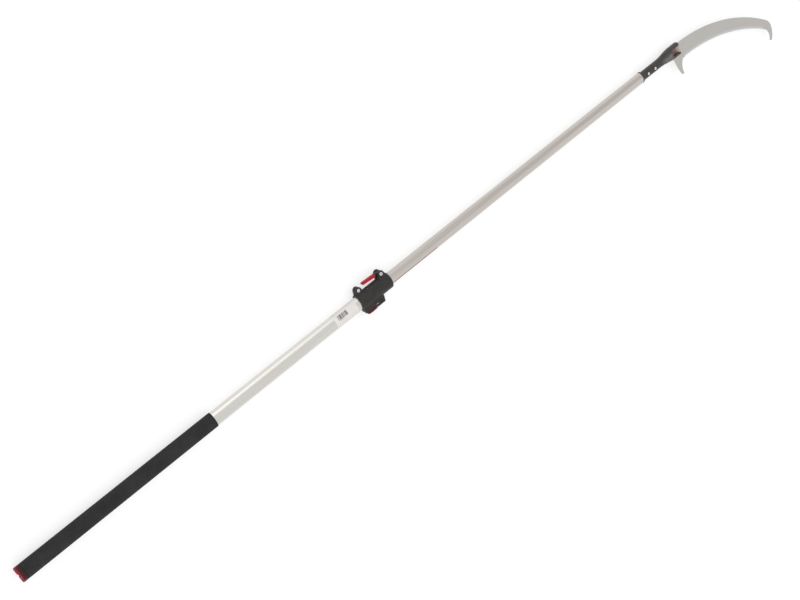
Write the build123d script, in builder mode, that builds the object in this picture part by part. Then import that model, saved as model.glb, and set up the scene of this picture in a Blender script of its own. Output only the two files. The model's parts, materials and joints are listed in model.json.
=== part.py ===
from build123d import *
from math import atan, degrees, hypot, radians
import os

# Telescoping pole saw: two oval aluminium tubes, a clamp collar with a cam lever and a lock pin,
# and a curved pull saw with a hook at its tip and a sickle at its heel.
#
# Frame: +X runs along the pole from the butt end at x = 0 to the blade, Y lies in the blade plane
# with the teeth towards -Y and the lever towards +Y, and +Z is square to the blade, up as it lies.
# The pole is drawn fully extended, the lever closed. All sizes are in millimetres.

os.makedirs("parts", exist_ok=True)

# Fits
seat_gap = 0.05            # between pieces that are fastened to each other
running_gap = 0.06         # pin in its bearing, on the radius
slide_gap = 0.3            # between pieces that slide past each other

# Oval of the pole: the outline of the lower tube, its width along Y and its height along Z.
# Every other oval of the pole is this one moved outwards or inwards by a distance.
oval_width = 38.0
oval_height = 30.6
oval_end_radius = 12.5
lower_wall = 1.5
lower_end = 1032.6
upper_inset = 2.3
upper_wall = 1.4
upper_start = 1032.4
upper_end = 2113.0

# Grip and end cap
cap_length = 13.0
cap_corner = 7.5           # rounding of the lobes seen from above, and seen from the side
cap_crown = 8.0
plug_length = 24.0
plug_wall = 2.4
groove_radius = 9.0
groove_depth = 5.0
groove_edge = 2.2
grip_end = 534.0
grip_wall = 0.9
grip_edge = 0.6

# Clamp collar
collar_start = 996.0
collar_end = 1102.0
collar_wall = 3.6
collar_edges = (3.0, 1.3)
rim_bead = 0.6
rim_bead_length = 5.0
lip_length = 2.0
liner_start = 1033.0
liner_wall = 1.4
slit_width = 2.0
slit_end = 1036.0
relief_length = 3.0
relief_half_height = 9.0

# Ears of the collar, which carry the pinch bolt and the lever pivot
ear_y = 31.0
ear_radius = 9.0
pinch_x = 1009.5
pinch_half_height = 8.0
pivot_x = 1083.5
clevis_gap = 12.0
cheek_thickness = 6.5
ear_root_y = 8.0
ear_root_length = 26.0
ear_root_width = 6.0

# Low-head socket bolts and thin nuts in the ears
bolt_radius = 3.0
head_radius = 5.0
head_height = 4.0
head_recess = 0.3
seat_radius = 5.5
head_edge = 0.6
socket_flat = 4.0
socket_depth = 2.2
nut_flat = 10.0
nut_height = 3.2
nut_recess = 0.3
washer_radius = 6.0
washer_thickness = 0.8

# Cam lever: an eccentric hub and a finger arm lying along the pole
hub_radius = 7.4
hub_offset = 0.32
bush_radius = 4.0
arm_tip_x = 1028.0
arm_tip_y = 36.5
arm_tip_radius = 3.4
arm_root_radius = 4.4
arm_root_back = 6.0
arm_corner = 2.0
arm_edge = 0.8
grip_joint_x = 1069.5
tongue_length = 22.0
tongue_y = 35.4
tongue_height = 3.2
tongue_width = 5.4

# Shoe that the cam presses on the upper tube
shoe_length = 22.0
shoe_width = 9.6
shoe_cam_gap = 0.35
window_margin = 0.45
shoe_edge = 1.5

# Lock box on the teeth side of the collar
box_start = 1000.4
box_end = 1065.5
box_face_y = -38.0
box_height = 20.0
box_corner = 2.0
box_edge = 1.4
box_lean = 3.5             # how far the blade end leans in from box_lean_y to the face
box_lean_y = -24.0
step_end = 1035.5          # the box is lower up to here, to make room for the thumb pad
step_y = -32.6
panel_start = 1033.0       # sunk panel on both sides, with a bar left standing in it
panel_end = 1057.0
panel_top_y = -22.6
panel_foot_y = -31.0
panel_corner = 1.5
panel_depth = 0.8
bar_x = 1038.0
bar_y = -29.0
bar_length = 8.0
bar_width = 2.4
cavity_start = 1003.2
cavity_end = 1060.0
cavity_floor_y = -22.0
cavity_height = 13.2
cover_start = 1037.2
cover_end = 1060.0
cover_thickness = 2.0
cover_ledge = 1.0
cover_rib_height = 0.6
cover_rib_count = 3
cover_rib_pitch = 6.6
cover_rib_width = 2.4
cover_rib_length = 9.0

# Lock rocker, its pin and its spring
rocker_x = 1031.0
rocker_y = -28.0
rocker_pin_radius = 1.5
rocker_pin_recess = 2.0
rocker_height = 12.2
pad_start = 1004.6
pad_end = 1034.0
pad_width = 19.0
pad_face_y = -39.9
pad_edge_y = -38.7
pad_inner_y = -31.0
pad_back_y = (-35.8, -33.5)     # where the wide part of the pad ends, at the butt and past the pivot
pad_edge = 0.8
boss_radius = 4.0
arm_thickness = 4.0
arm_end = 1057.0
fork_width = 5.0
lock_x = 1055.0
lock_radius = 3.0
lock_edge = 0.7
lock_neck_radius = 2.0
lock_neck_length = 5.6
lock_head_radius = 4.2
lock_head_height = 2.4
lock_hole_radius = 3.5
lock_holes = 8
lock_pitch = 140.0
spring_strip = 0.5
spring_width = 8.0
spring_foot_x = 1005.4
spring_bend_x = 1022.0
spring_tip_x = 1008.0
spring_bend_radius = 1.2

# Guide at the foot of the upper tube
guide_length = 8.0
guide_plug = 18.0
guide_bore_wall = 3.2

# Blade holder
spigot_start = 2050.0
holder_bead = 0.4          # how far the ring at the foot of the neck stands out from the tube
holder_bead_length = 5.0
neck_width = 26.6
neck_height = 21.6
neck_corner = 10.4
flare_start = 2200.0
flare_steps = ((14.0, 0.9), (30.0, 4.2), (14.0, 1.0))     # lengths, and growth all round
flare_end = flare_start + sum(length for length, growth in flare_steps)
mouth_end = 2290.0
mouth_width = neck_width + 2 * sum(growth for length, growth in flare_steps)
mouth_height = 17.0
mouth_edge = 0.6
notch_start = 2257.0
notch_top = 8.5
notch_bottom = -11.5
notch_corner = 7.0
rivet_x = 2098.0
rivet_radius = 2.4
rivet_head_radius = 4.2
rivet_head_height = 1.6
rivet_edge = 1.1
rivet_length = 9.0

# Blade bolts through the neck of the holder
blade_bolt_x = (2138.0, 2169.0)
blade_bolt_radius = 2.5
blade_hex_flat = 8.0
blade_nut_height = 4.0
blade_washer_radius = 5.0
spot_radius = 5.8
spot_height = 10.2
hex_height = 4.0
hex_edge = 0.5
thread_end = 1.0           # how far the bolt stands out of its nut
blade_washer_thickness = 1.2

# Saw blade. Its back and its row of teeth run along the pole at their roots and bend away from there on.
blade_thickness = 2.0
tang_start = 2124.0
tang_half_width = 10.0
tang_end = 2222.0
slot_margin = 0.3          # room round the edge of the tang in its slot
slot_lean = 4.0
shoulder_x = 2240.0
back_root = 2290.0
back_y = 14.5
back_radius = 657.0
back_turn = 36.9
tooth_root = 2308.0
tooth_y = -37.0
tooth_radius = 678.0
tooth_turn = 31.1
tooth_count = 64
tooth_depth = 3.4
tooth_rake = 0.28
tooth_land = 0.4
nose_radius = 36.0
hook_outer_radius = 64.0
hook_outer_turn = 38.0
hook_tip_width = 10.0
hook_tip_rise = 2.5
hook_inner_bulge = (2680.8, -160.0)
hook_run = 14.0
sickle_heel = (2299.0, -36.5)
sickle_inner = (2286.0, -56.0)
sickle_tip_inner = (2285.5, -81.0)
sickle_tip_outer = (2275.5, -78.0)
sickle_outer = (2267.0, -55.0)
sickle_root = (2262.0, -26.0)
tip_corner = 2.5
sickle_bevel_depth = 0.75
sickle_bevel_width = 4.0

# Sizes that follow from the ones above
oval_flank_radius = (
    ((oval_width / 2 - oval_end_radius) ** 2 + (oval_height / 2) ** 2 - oval_end_radius**2)
    / (oval_height - 2 * oval_end_radius)
)
oval_end_offset = oval_width / 2 - oval_end_radius
oval_flank_offset = oval_flank_radius - oval_height / 2
grip_growth = seat_gap + grip_wall
upper_bore_inset = upper_inset + upper_wall
liner_bore_inset = upper_inset - slide_gap
liner_inset = liner_bore_inset - liner_wall
liner_end = collar_end - lip_length - seat_gap
cheek_inner = clevis_gap / 2
cheek_outer = cheek_inner + cheek_thickness
hub_half = cheek_inner - washer_thickness - slide_gap
hub_y = ear_y - hub_offset
shoe_top = hub_y - hub_radius - shoe_cam_gap
window_length = shoe_length + 2 * window_margin
window_height = shoe_width + 2 * window_margin
slot_half = blade_thickness / 2 + 2 * seat_gap
lock_tip_y = -(oval_width / 2 - liner_bore_inset)
neck_top_y = rocker_y - lock_neck_length / 2
neck_foot_y = rocker_y + lock_neck_length / 2
rivet_seat_z = -(oval_height / 2 - upper_inset + seat_gap)
past_all = 60.0            # longer than any cut across the pole
overcut = 1.0              # how far a short cut runs past the face it opens


class Oval(BaseSketchObject):
    """Outline of the lower tube, two end arcs and two flank arcs, moved outwards by growth."""

    def __init__(self, growth=0.0, mode=Mode.ADD):
        end_radius = oval_end_radius + growth
        lean = oval_flank_radius - oval_end_radius
        half_width = oval_width / 2 + growth
        half_height = oval_height / 2 + growth
        join_y = oval_end_offset + end_radius * oval_end_offset / lean
        join_z = end_radius * oval_flank_offset / lean
        with BuildSketch() as outline:
            with BuildLine():
                ThreePointArc((-join_y, join_z), (0, half_height), (join_y, join_z))
                ThreePointArc((join_y, join_z), (half_width, 0), (join_y, -join_z))
                ThreePointArc((join_y, -join_z), (0, -half_height), (-join_y, -join_z))
                ThreePointArc((-join_y, -join_z), (-half_width, 0), (-join_y, join_z))
            make_face()
        super().__init__(obj=outline.sketch, mode=mode)


# Lower tube
with BuildPart() as lower_tube:
    with BuildSketch(Plane.YZ.offset(cap_length)):
        Oval()
        Oval(-lower_wall, mode=Mode.SUBTRACT)
    extrude(amount=lower_end - cap_length)
lower_tube.part.label = "lower_tube"
export_step(lower_tube.part, "parts/lower_tube.step")

# Grip sleeve on the lower tube
with BuildPart() as grip_sleeve:
    with BuildSketch(Plane.YZ.offset(cap_length)):
        Oval(grip_growth)
    extrude(amount=grip_end - cap_length)
    chamfer(grip_sleeve.faces().sort_by(Axis.X)[-1].edges(), grip_edge)
    with BuildSketch(Plane.YZ.offset(cap_length)):
        Oval(seat_gap)
    extrude(amount=grip_end - cap_length, mode=Mode.SUBTRACT)
grip_sleeve.part.label = "grip_sleeve"
export_step(grip_sleeve.part, "parts/grip_sleeve.step")

# End cap: two rounded lobes with a groove between them, and a hollow plug in the tube
with BuildPart() as end_cap:
    with BuildSketch(Plane.YZ):
        Oval(grip_growth)
    extrude(amount=cap_length)
    with BuildSketch(Plane.XY) as lobes:
        with Locations((cap_length, 0)):
            RectangleRounded(2 * cap_length, oval_width + 2 * grip_growth, cap_corner)
        with Locations((groove_depth - groove_radius, 0)):
            Circle(groove_radius, mode=Mode.SUBTRACT)
        groove_corners = lobes.vertices().filter_by(
            lambda point: point.X < seat_gap and abs(point.Y) < groove_radius
        )
        fillet(groove_corners, groove_edge)
    extrude(amount=past_all, both=True, mode=Mode.INTERSECT)
    with BuildSketch(Plane.XZ):
        with Locations((cap_length, 0)):
            RectangleRounded(2 * cap_length, oval_height + 2 * grip_growth, cap_crown)
    extrude(amount=past_all, both=True, mode=Mode.INTERSECT)
    with BuildSketch(Plane.YZ.offset(cap_length)):
        Oval(-lower_wall - seat_gap)
        Oval(-lower_wall - plug_wall, mode=Mode.SUBTRACT)
    extrude(amount=plug_length)
end_cap.part.label = "end_cap"
export_step(end_cap.part, "parts/end_cap.step")

# Clamp collar: split sleeve with ears, a clevis for the lever and a box for the lock
with BuildPart() as clamp_collar:
    with BuildSketch(Plane.XY):
        Polygon(
            (box_start, 0),
            (box_start, step_y + box_corner),
            (box_start + box_corner, step_y),
            (step_end, step_y),
            (step_end, box_face_y),
            (box_end - box_lean, box_face_y),
            (box_end, box_lean_y),
            (box_end, 0),
            align=None,
        )
    extrude(amount=box_height / 2, both=True)
    box_rims = clamp_collar.faces().filter_by(Plane.XY).edges()
    chamfer(box_rims.filter_by(lambda edge: abs(edge.center().X - step_end) > seat_gap), box_edge)
    for side in (1, -1):
        with BuildSketch(Plane.XY.offset(side * box_height / 2)):
            with Locations(((panel_start + panel_end) / 2, (panel_top_y + panel_foot_y) / 2)):
                RectangleRounded(panel_end - panel_start, panel_top_y - panel_foot_y, panel_corner)
            with Locations((bar_x, bar_y)):
                Rectangle(bar_length, bar_width, mode=Mode.SUBTRACT)
        extrude(amount=-side * panel_depth, mode=Mode.SUBTRACT)
    with BuildSketch(Plane.YZ.offset(collar_start)):
        Oval(collar_wall)
    extrude(amount=collar_end - collar_start)
    for edge in collar_edges:
        chamfer(clamp_collar.faces().sort_by(Axis.X)[-1].edges(), edge)
    with BuildSketch(Plane.YZ.offset(collar_start)):
        Oval(collar_wall + rim_bead)
    extrude(amount=rim_bead_length)

    # The two pinch ears are cut apart by the slit further down
    with BuildSketch(Plane.XY.offset(-pinch_half_height)):
        with Locations((pinch_x, ear_y)):
            Circle(ear_radius)
        with Locations((pinch_x, ear_root_y)):
            Rectangle(ear_root_length, ear_root_width)
        make_hull()
    extrude(amount=2 * pinch_half_height)
    for cheek_foot in (cheek_inner, -cheek_outer):
        with BuildSketch(Plane.XY.offset(cheek_foot)):
            with Locations((pivot_x, ear_y)):
                Circle(ear_radius)
            with Locations((pivot_x, ear_root_y)):
                Rectangle(ear_root_length, ear_root_width)
            make_hull()
        extrude(amount=cheek_thickness)

    # Bores for the lower tube and the liner, with a lip at the mouth
    with BuildSketch(Plane.YZ.offset(collar_start)):
        Oval(seat_gap)
    extrude(amount=liner_start - collar_start, mode=Mode.SUBTRACT)
    with BuildSketch(Plane.YZ.offset(liner_start)):
        Oval(seat_gap - liner_inset)
    extrude(amount=collar_end - lip_length - liner_start, mode=Mode.SUBTRACT)
    with BuildSketch(Plane.YZ.offset(collar_end - lip_length)):
        Oval(slide_gap - liner_bore_inset)
    extrude(amount=lip_length, mode=Mode.SUBTRACT)

    # Slit and cross relief that let the pinch bolt close the sleeve
    with BuildSketch(Plane.XZ):
        with Locations(((collar_start + slit_end) / 2, 0)):
            Rectangle(slit_end - collar_start, slit_width)
        with Locations((slit_end - relief_length / 2, 0)):
            Rectangle(relief_length, 2 * relief_half_height)
    extrude(amount=-past_all, mode=Mode.SUBTRACT)

    # Window for the shoe under the cam
    with BuildSketch(Plane.XZ):
        with Locations((pivot_x, 0)):
            Rectangle(window_length, window_height)
    extrude(amount=-(shoe_top + overcut), mode=Mode.SUBTRACT)

    # Bolt holes with a sunk seat above and a nut pocket below
    for bolt_x, ear_top in ((pinch_x, pinch_half_height), (pivot_x, cheek_outer)):
        with BuildSketch(Plane.XY):
            with Locations((bolt_x, ear_y)):
                Circle(bolt_radius + seat_gap)
        extrude(amount=past_all, both=True, mode=Mode.SUBTRACT)
        with BuildSketch(Plane.XY.offset(ear_top)):
            with Locations((bolt_x, ear_y)):
                Circle(seat_radius)
        extrude(amount=-(head_height + head_recess), mode=Mode.SUBTRACT)
        with BuildSketch(Plane.XY.offset(-ear_top)):
            with Locations((bolt_x, ear_y)):
                RegularPolygon(nut_flat / 2 + seat_gap, 6, major_radius=False)
        extrude(amount=nut_height + nut_recess, mode=Mode.SUBTRACT)

    # Lock box: cavity, recess for its cover, rocker pin and lock pin bores
    with BuildSketch(Plane.XZ.offset(-cavity_floor_y)):
        with Locations(((cavity_start + cavity_end) / 2, 0)):
            Rectangle(cavity_end - cavity_start, cavity_height)
    extrude(amount=past_all, mode=Mode.SUBTRACT)
    with BuildSketch(Plane.XZ.offset(-box_face_y - cover_thickness)):
        with Locations(((cover_start + cover_end) / 2, 0)):
            Rectangle(cover_end - cover_start, cavity_height + 2 * cover_ledge)
    extrude(amount=past_all, mode=Mode.SUBTRACT)
    with BuildSketch(Plane.XY):
        with Locations((rocker_x, rocker_y)):
            Circle(rocker_pin_radius + seat_gap / 2)
    extrude(amount=past_all, both=True, mode=Mode.SUBTRACT)
    with BuildSketch(Plane.XZ):
        with Locations((lock_x, 0)):
            Circle(lock_radius + running_gap)
    extrude(amount=-cavity_floor_y + overcut, mode=Mode.SUBTRACT)
clamp_collar.part.label = "clamp_collar"
export_step(clamp_collar.part, "parts/clamp_collar.step")

# Guide liner between the collar and the upper tube
with BuildPart() as guide_liner:
    with BuildSketch(Plane.YZ.offset(liner_start)):
        Oval(-liner_inset)
        Oval(-liner_bore_inset, mode=Mode.SUBTRACT)
    extrude(amount=liner_end - liner_start)
    with BuildSketch(Plane.XZ):
        with Locations((pivot_x, 0)):
            Rectangle(window_length, window_height)
    extrude(amount=-past_all, mode=Mode.SUBTRACT)
    with BuildSketch(Plane.XZ):
        with Locations((lock_x, 0)):
            Circle(lock_hole_radius)
    extrude(amount=past_all, mode=Mode.SUBTRACT)
guide_liner.part.label = "guide_liner"
export_step(guide_liner.part, "parts/guide_liner.step")

# Pinch bolt, pivot bolt of the lever, and their nuts
for ear_name, bolt_x, ear_top in (("pinch", pinch_x, pinch_half_height), ("pivot", pivot_x, cheek_outer)):
    bolt_seat = ear_top - head_recess - head_height
    bolt_foot = -ear_top + nut_recess
    with BuildPart() as socket_bolt:
        with BuildSketch(Plane.XY.offset(bolt_seat)):
            with Locations((bolt_x, ear_y)):
                Circle(head_radius)
        extrude(amount=head_height)
        chamfer(socket_bolt.faces().sort_by(Axis.Z)[-1].edges(), head_edge)
        with BuildSketch(Plane.XY.offset(bolt_seat + head_height)):
            with Locations((bolt_x, ear_y)):
                RegularPolygon(socket_flat / 2, 6, major_radius=False)
        extrude(amount=-socket_depth, mode=Mode.SUBTRACT)
        with BuildSketch(Plane.XY.offset(bolt_foot)):
            with Locations((bolt_x, ear_y)):
                Circle(bolt_radius)
        extrude(amount=bolt_seat - bolt_foot)
    socket_bolt.part.label = f"{ear_name}_bolt"
    export_step(socket_bolt.part, f"parts/{ear_name}_bolt.step")

    with BuildPart() as pocket_nut:
        with BuildSketch(Plane.XY.offset(bolt_foot)):
            with Locations((bolt_x, ear_y)):
                RegularPolygon(nut_flat / 2, 6, major_radius=False)
                Circle(bolt_radius + seat_gap, mode=Mode.SUBTRACT)
        extrude(amount=nut_height)
    pocket_nut.part.label = f"{ear_name}_nut"
    export_step(pocket_nut.part, f"parts/{ear_name}_nut.step")

# Washers on both sides of the lever hub
with BuildPart() as hub_washers:
    for washer_foot in (cheek_inner - washer_thickness, -cheek_inner):
        with BuildSketch(Plane.XY.offset(washer_foot)):
            with Locations((pivot_x, ear_y)):
                Circle(washer_radius)
                Circle(bolt_radius + seat_gap, mode=Mode.SUBTRACT)
        extrude(amount=washer_thickness)
hub_washers.part.label = "hub_washers"
export_step(hub_washers.part, "parts/hub_washers.step")

# Outline of the lever: eccentric hub, and an arm that tapers to a rounded finger end
with BuildPart() as lever_blank:
    with BuildSketch(Plane.XY.offset(-hub_half)) as lever_outline:
        with Locations((arm_tip_x + arm_tip_radius, arm_tip_y)):
            Circle(arm_tip_radius)
        with Locations((pivot_x - arm_root_back, hub_y + hub_radius - arm_root_radius)):
            Circle(arm_root_radius)
        make_hull()
        with Locations((pivot_x, hub_y)):
            Circle(hub_radius)
        arm_corners = lever_outline.vertices().filter_by(
            lambda point: point.X < pivot_x
            and abs(hypot(point.X - pivot_x, point.Y - hub_y) - hub_radius) < seat_gap
        )
        fillet(arm_corners, arm_corner)
    extrude(amount=2 * hub_half)
    chamfer(lever_blank.faces().filter_by(Plane.XY).edges(), arm_edge)

# Cam lever: the hub, with a tongue that carries the finger grip
with BuildPart() as cam_lever:
    add(lever_blank.part)
    split(bisect_by=Plane.YZ.offset(grip_joint_x), keep=Keep.TOP)
    with BuildSketch(Plane.YZ.offset(grip_joint_x)):
        with Locations((tongue_y, 0)):
            Rectangle(tongue_height, tongue_width)
    extrude(amount=-tongue_length)
    with BuildSketch(Plane.XY):
        with Locations((pivot_x, ear_y)):
            Circle(bush_radius + seat_gap)
    extrude(amount=past_all, both=True, mode=Mode.SUBTRACT)
cam_lever.part.label = "cam_lever"
export_step(cam_lever.part, "parts/cam_lever.step")

# Finger grip pushed on the tongue of the cam lever
with BuildPart() as lever_grip:
    add(lever_blank.part)
    split(bisect_by=Plane.YZ.offset(grip_joint_x - seat_gap), keep=Keep.BOTTOM)
    with BuildSketch(Plane.YZ.offset(grip_joint_x)):
        with Locations((tongue_y, 0)):
            Rectangle(tongue_height + 2 * seat_gap, tongue_width + 2 * seat_gap)
    extrude(amount=-tongue_length - seat_gap, mode=Mode.SUBTRACT)
lever_grip.part.label = "lever_grip"
export_step(lever_grip.part, "parts/lever_grip.step")

# Bearing bush in the lever hub
with BuildPart() as lever_bush:
    with BuildSketch(Plane.XY.offset(-hub_half)):
        with Locations((pivot_x, ear_y)):
            Circle(bush_radius)
            Circle(bolt_radius + running_gap, mode=Mode.SUBTRACT)
    extrude(amount=2 * hub_half)
lever_bush.part.label = "lever_bush"
export_step(lever_bush.part, "parts/lever_bush.step")

# Clamp shoe: flat under the cam, hollowed to the oval of the upper tube
with BuildPart() as clamp_shoe:
    with BuildSketch(Plane.YZ.offset(pivot_x - shoe_length / 2)):
        with Locations((shoe_top / 2, 0)):
            Rectangle(shoe_top, shoe_width)
        Oval(-liner_bore_inset, mode=Mode.SUBTRACT)
    extrude(amount=shoe_length)
    fillet(clamp_shoe.faces().sort_by(Axis.Y)[-1].edges().filter_by(Axis.Z), shoe_edge)
clamp_shoe.part.label = "clamp_shoe"
export_step(clamp_shoe.part, "parts/clamp_shoe.step")

# Cover of the lock box, with three raised bars
with BuildPart() as box_cover:
    with BuildSketch(Plane.XZ.offset(-box_face_y - cover_thickness)):
        with Locations(((cover_start + cover_end) / 2, 0)):
            Rectangle(
                cover_end - cover_start - 2 * seat_gap,
                cavity_height + 2 * cover_ledge - 2 * seat_gap,
            )
    extrude(amount=cover_thickness)
    with BuildSketch(Plane.XZ.offset(-box_face_y)):
        with Locations(((cover_start + cover_end) / 2, 0)):
            with GridLocations(cover_rib_pitch, 0, cover_rib_count, 1):
                Rectangle(cover_rib_width, cover_rib_length)
    extrude(amount=cover_rib_height)
box_cover.part.label = "box_cover"
export_step(box_cover.part, "parts/box_cover.step")

# Pivot pin of the lock rocker
with BuildPart() as rocker_pin:
    with BuildSketch(Plane.XY):
        with Locations((rocker_x, rocker_y)):
            Circle(rocker_pin_radius)
    extrude(amount=box_height / 2 - rocker_pin_recess, both=True)
rocker_pin.part.label = "rocker_pin"
export_step(rocker_pin.part, "parts/rocker_pin.step")

# Lock rocker: a thumb pad on one side of its pivot, a fork for the pin on the other
with BuildPart() as lock_rocker:
    with BuildSketch(Plane.XY):
        with BuildLine():
            pad_face = ThreePointArc(
                (pad_start, pad_edge_y),
                ((pad_start + pad_end) / 2, pad_face_y),
                (pad_end, pad_edge_y),
            )
            Polyline(pad_face @ 1, (pad_end, pad_back_y[1]), (pad_start, pad_back_y[0]), pad_face @ 0)
        make_face()
    extrude(amount=pad_width / 2, both=True)
    pad_rim = lock_rocker.faces().sort_by(Axis.Y)[0].edges()
    chamfer(pad_rim, pad_edge)
    with BuildSketch(Plane.XY):
        Polygon(
            (pad_start, pad_back_y[0]),
            (pad_end, pad_back_y[0]),
            (rocker_x, rocker_y),
            (rocker_x - boss_radius, pad_inner_y),
            (pad_start, pad_inner_y),
            align=None,
        )
        with Locations((rocker_x, rocker_y)):
            Circle(boss_radius)
        with Locations(((rocker_x + arm_end) / 2, rocker_y)):
            Rectangle(arm_end - rocker_x, arm_thickness)
    extrude(amount=rocker_height / 2, both=True)
    with BuildSketch(Plane.XY):
        with Locations((rocker_x, rocker_y)):
            Circle(rocker_pin_radius + running_gap)
    extrude(amount=past_all, both=True, mode=Mode.SUBTRACT)
    with BuildSketch(Plane.XZ):
        with Locations((lock_x + fork_width, 0)):
            Rectangle(3 * fork_width, fork_width)
    extrude(amount=past_all, mode=Mode.SUBTRACT)
lock_rocker.part.label = "lock_rocker"
export_step(lock_rocker.part, "parts/lock_rocker.step")

# Lock pin: head, neck in the fork, and a chamfered end that drops into the upper tube
with BuildPart() as lock_pin:
    with BuildSketch(Plane.XZ.offset(-lock_tip_y)):
        with Locations((lock_x, 0)):
            Circle(lock_radius)
    extrude(amount=lock_tip_y - neck_foot_y)
    chamfer(lock_pin.faces().sort_by(Axis.Y)[-1].edges(), lock_edge)
    with BuildSketch(Plane.XZ.offset(-neck_foot_y)):
        with Locations((lock_x, 0)):
            Circle(lock_neck_radius)
    extrude(amount=lock_neck_length)
    with BuildSketch(Plane.XZ.offset(-neck_top_y)):
        with Locations((lock_x, 0)):
            Circle(lock_head_radius)
    extrude(amount=lock_head_height)
lock_pin.part.label = "lock_pin"
export_step(lock_pin.part, "parts/lock_pin.step")

# Return spring under the thumb pad: a bent strip with its foot on the floor of the box
with BuildPart() as rocker_spring:
    with BuildSketch(Plane.XY):
        with BuildLine():
            FilletPolyline(
                (spring_foot_x, cavity_floor_y - spring_strip / 2 - seat_gap),
                (spring_bend_x, cavity_floor_y - spring_strip / 2 - seat_gap),
                (spring_tip_x, pad_inner_y + spring_strip / 2 + slide_gap),
                radius=spring_bend_radius,
            )
        trace(line_width=spring_strip)
    extrude(amount=spring_width / 2, both=True)
rocker_spring.part.label = "rocker_spring"
export_step(rocker_spring.part, "parts/rocker_spring.step")

# Upper tube with a row of lock holes facing the lock pin
with BuildPart() as upper_tube:
    with BuildSketch(Plane.YZ.offset(upper_start)):
        Oval(-upper_inset)
        Oval(-upper_bore_inset, mode=Mode.SUBTRACT)
    extrude(amount=upper_end - upper_start)
    with BuildSketch(Plane.XZ):
        with Locations(*[(lock_x + i * lock_pitch, 0) for i in range(lock_holes)]):
            Circle(lock_hole_radius)
    extrude(amount=past_all, mode=Mode.SUBTRACT)
    with BuildSketch(Plane.XY):
        with Locations((rivet_x, 0)):
            Circle(rivet_radius + seat_gap)
    extrude(amount=-past_all, mode=Mode.SUBTRACT)
upper_tube.part.label = "upper_tube"
export_step(upper_tube.part, "parts/upper_tube.step")

# Guide ring at the foot of the upper tube
with BuildPart() as tube_guide:
    with BuildSketch(Plane.YZ.offset(upper_start - guide_length)):
        Oval(-lower_wall - slide_gap - seat_gap)
    extrude(amount=guide_length - seat_gap)
    with BuildSketch(Plane.YZ.offset(upper_start - guide_length / 2)):
        Oval(-upper_bore_inset - seat_gap)
    extrude(amount=guide_length / 2 + guide_plug)
    with BuildSketch(Plane.YZ.offset(upper_start - guide_length)):
        Oval(-upper_bore_inset - guide_bore_wall)
    extrude(amount=guide_length + guide_plug, mode=Mode.SUBTRACT)
tube_guide.part.label = "tube_guide"
export_step(tube_guide.part, "parts/tube_guide.step")

# Blade holder: spigot in the tube, neck, and a flare to a forked mouth
with BuildPart() as blade_holder:
    with BuildSketch(Plane.YZ.offset(spigot_start)):
        Oval(-upper_bore_inset - seat_gap)
    extrude(amount=upper_end - spigot_start)
    with BuildSketch(Plane.YZ.offset(upper_end)):
        RectangleRounded(neck_width, neck_height, neck_corner)
    extrude(amount=flare_start - upper_end)
    with BuildSketch(Plane.YZ.offset(upper_end + seat_gap)):
        Oval(holder_bead - upper_inset)
    extrude(amount=holder_bead_length)
    step_start = flare_start
    step_growth = 0.0
    for length, growth in flare_steps + ((mouth_end - flare_end, 0.0),):
        with BuildSketch(Plane.YZ.offset(step_start)):
            RectangleRounded(
                neck_width + 2 * step_growth,
                neck_height + 2 * step_growth,
                neck_corner + step_growth,
            )
        extrude(amount=length, taper=-degrees(atan(growth / length)))
        step_start += length
        step_growth += growth

    # The flare is planed off above and below, down to the height of the mouth
    for side in (1, -1):
        with BuildSketch(Plane.XZ):
            Polygon(
                (flare_start, side * neck_height / 2),
                (flare_end, side * mouth_height / 2),
                (mouth_end, side * mouth_height / 2),
                (mouth_end, side * past_all),
                (flare_start, side * past_all),
                align=None,
            )
        extrude(amount=past_all, both=True, mode=Mode.SUBTRACT)
    chamfer(blade_holder.faces().sort_by(Axis.X)[-1].edges(), mouth_edge)

    # Notch between the two prongs of the mouth
    with BuildSketch(Plane.XY):
        with Locations(((notch_start + mouth_end + notch_corner) / 2, (notch_top + notch_bottom) / 2)):
            RectangleRounded(
                mouth_end + notch_corner - notch_start,
                notch_top - notch_bottom,
                notch_corner,
            )
    extrude(amount=past_all, both=True, mode=Mode.SUBTRACT)

    # Slot for the blade, open to the front and, at the mouth, towards the teeth
    with BuildSketch(Plane.XY):
        Polygon(
            (tang_start - slot_margin, tang_half_width + slot_margin),
            (tang_end - slot_margin, tang_half_width + slot_margin),
            (shoulder_x - slot_margin, back_y + slot_margin),
            (mouth_end + overcut, back_y + slot_margin),
            (mouth_end + overcut, -mouth_width),
            (shoulder_x + slot_lean, -mouth_width),
            (shoulder_x - slot_lean, -tang_half_width - slot_margin),
            (tang_start - slot_margin, -tang_half_width - slot_margin),
            align=None,
        )
    extrude(amount=slot_half, both=True, mode=Mode.SUBTRACT)

    # Bolt holes with flats for the heads and washers, and the rivet hole
    with BuildSketch(Plane.XY):
        with Locations(*[(x, 0) for x in blade_bolt_x]):
            Circle(blade_bolt_radius + seat_gap)
    extrude(amount=past_all, both=True, mode=Mode.SUBTRACT)
    with BuildSketch(Plane.XY.offset(rivet_seat_z)):
        with Locations((rivet_x, 0)):
            Circle(rivet_radius + seat_gap)
    extrude(amount=rivet_length + seat_gap, mode=Mode.SUBTRACT)
    for spot_foot, spot_depth in ((spot_height, past_all), (-spot_height, -past_all)):
        with BuildSketch(Plane.XY.offset(spot_foot)):
            with Locations(*[(x, 0) for x in blade_bolt_x]):
                Circle(spot_radius)
        extrude(amount=spot_depth, mode=Mode.SUBTRACT)
blade_holder.part.label = "blade_holder"
export_step(blade_holder.part, "parts/blade_holder.step")

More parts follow.
